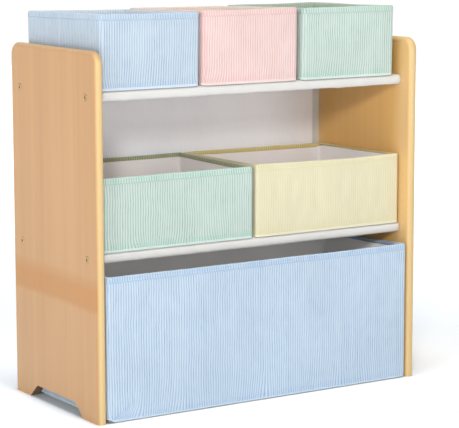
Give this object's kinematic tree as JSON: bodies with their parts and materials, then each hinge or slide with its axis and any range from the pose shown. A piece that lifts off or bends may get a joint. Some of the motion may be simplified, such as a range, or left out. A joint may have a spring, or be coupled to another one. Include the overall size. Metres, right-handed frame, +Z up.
{
  "type": "toy storage organizer with bins",
  "caption": "Low open cabinet with two wooden side panels and two shelves, holding pull-out ribbed fabric bins with loose base inserts for sorting toys.",
  "frame": {"origin": "on the floor, in the middle of the footprint of the two side panels", "axes": "+X to the right seen from the front, +Y to the back, +Z up"},
  "size_m": [0.621, 0.29, 0.6394],
  "materials": {
    "wood_panel": "satin laminate with fine vertical grain",
    "rod_steel": "white powder coat",
    "shelf_fabric": "taut plain-woven white fabric",
    "fibre_board": "raw grey fibre board",
    "back_board": "white coated hardboard, matt",
    "white_batten": "white painted batten, matt",
    "dowel_wood": "raw beech",
    "plug_plastic": "moulded nylon",
    "bolt_brass": "yellow zinc plated",
    "corduroy_blue": "wide-wale corduroy, vertical ribs",
    "corduroy_pink": "wide-wale corduroy, vertical ribs",
    "corduroy_green": "wide-wale corduroy, vertical ribs",
    "corduroy_yellow": "wide-wale corduroy, vertical ribs",
    "lining_fabric": "light grey non-woven",
    "bottom_fabric": "grey non-woven",
    "insert_fabric": "light grey non-woven over a board"
  },
  "bodies": {
    "cabinet": {"left_side_panel": "wood_panel", "right_side_panel": "wood_panel", "top_shelf_front_rod": "rod_steel", "top_shelf_rear_rod": "rod_steel", "middle_shelf_front_rod": "rod_steel", "middle_shelf_rear_rod": "rod_steel", "top_shelf_sleeve": "shelf_fabric", "middle_shelf_sleeve": "shelf_fabric", "top_shelf_insert_board": "fibre_board", "middle_shelf_insert_board": "fibre_board", "back_panel": "back_board", "back_post_left": "white_batten", "back_post_right": "white_batten", "post_dowels": "dowel_wood", "rod_end_plugs": "plug_plastic", "assembly_bolts": "bolt_brass"},
    "top_left_bin": {"top_left_bin_cover": "corduroy_blue", "top_left_bin_wall_boards": "fibre_board", "top_left_bin_bottom": "bottom_fabric", "top_left_bin_lining": "lining_fabric"},
    "top_left_bin_insert": {"top_left_bin_base_insert": "insert_fabric"},
    "top_middle_bin": {"top_middle_bin_cover": "corduroy_pink", "top_middle_bin_wall_boards": "fibre_board", "top_middle_bin_bottom": "bottom_fabric", "top_middle_bin_lining": "lining_fabric"},
    "top_middle_bin_insert": {"top_middle_bin_base_insert": "insert_fabric"},
    "top_right_bin": {"top_right_bin_cover": "corduroy_green", "top_right_bin_wall_boards": "fibre_board", "top_right_bin_bottom": "bottom_fabric", "top_right_bin_lining": "lining_fabric"},
    "top_right_bin_insert": {"top_right_bin_base_insert": "insert_fabric"},
    "middle_left_bin": {"middle_left_bin_cover": "corduroy_green", "middle_left_bin_wall_boards": "fibre_board", "middle_left_bin_bottom": "bottom_fabric", "middle_left_bin_lining": "lining_fabric"},
    "middle_left_bin_insert": {"middle_left_bin_base_insert": "insert_fabric"},
    "middle_right_bin": {"middle_right_bin_cover": "corduroy_yellow", "middle_right_bin_wall_boards": "fibre_board", "middle_right_bin_bottom": "bottom_fabric", "middle_right_bin_lining": "lining_fabric"},
    "middle_right_bin_insert": {"middle_right_bin_base_insert": "insert_fabric"},
    "large_bin": {"large_bin_cover": "corduroy_blue", "large_bin_wall_boards": "fibre_board", "large_bin_bottom": "bottom_fabric", "large_bin_lining": "lining_fabric"},
    "large_bin_insert": {"large_bin_base_insert": "insert_fabric"}
  },
  "joints": [
    {"name": "top_left_bin_lift", "type": "slide", "parent": "cabinet", "child": "top_left_bin", "axis": [0, 0, 1], "range_m": [0, 0.13]},
    {"name": "top_left_bin_insert_lift", "type": "slide", "parent": "top_left_bin", "child": "top_left_bin_insert", "axis": [0, 0, 1], "range_m": [0, 0.13]},
    {"name": "top_middle_bin_lift", "type": "slide", "parent": "cabinet", "child": "top_middle_bin", "axis": [0, 0, 1], "range_m": [0, 0.13]},
    {"name": "top_middle_bin_insert_lift", "type": "slide", "parent": "top_middle_bin", "child": "top_middle_bin_insert", "axis": [0, 0, 1], "range_m": [0, 0.13]},
    {"name": "top_right_bin_lift", "type": "slide", "parent": "cabinet", "child": "top_right_bin", "axis": [0, 0, 1], "range_m": [0, 0.13]},
    {"name": "top_right_bin_insert_lift", "type": "slide", "parent": "top_right_bin", "child": "top_right_bin_insert", "axis": [0, 0, 1], "range_m": [0, 0.13]},
    {"name": "middle_left_bin_slide", "type": "slide", "parent": "cabinet", "child": "middle_left_bin", "axis": [0, -1, 0], "range_m": [0, 0.26]},
    {"name": "middle_left_bin_insert_lift", "type": "slide", "parent": "middle_left_bin", "child": "middle_left_bin_insert", "axis": [0, 0, 1], "range_m": [0, 0.13]},
    {"name": "middle_right_bin_slide", "type": "slide", "parent": "cabinet", "child": "middle_right_bin", "axis": [0, -1, 0], "range_m": [0, 0.26]},
    {"name": "middle_right_bin_insert_lift", "type": "slide", "parent": "middle_right_bin", "child": "middle_right_bin_insert", "axis": [0, 0, 1], "range_m": [0, 0.13]},
    {"name": "large_bin_slide", "type": "slide", "parent": "cabinet", "child": "large_bin", "axis": [0, -1, 0], "range_m": [0, 0.26]},
    {"name": "large_bin_insert_lift", "type": "slide", "parent": "large_bin", "child": "large_bin_insert", "axis": [0, 0, 1], "range_m": [0, 0.235]}
  ]
}
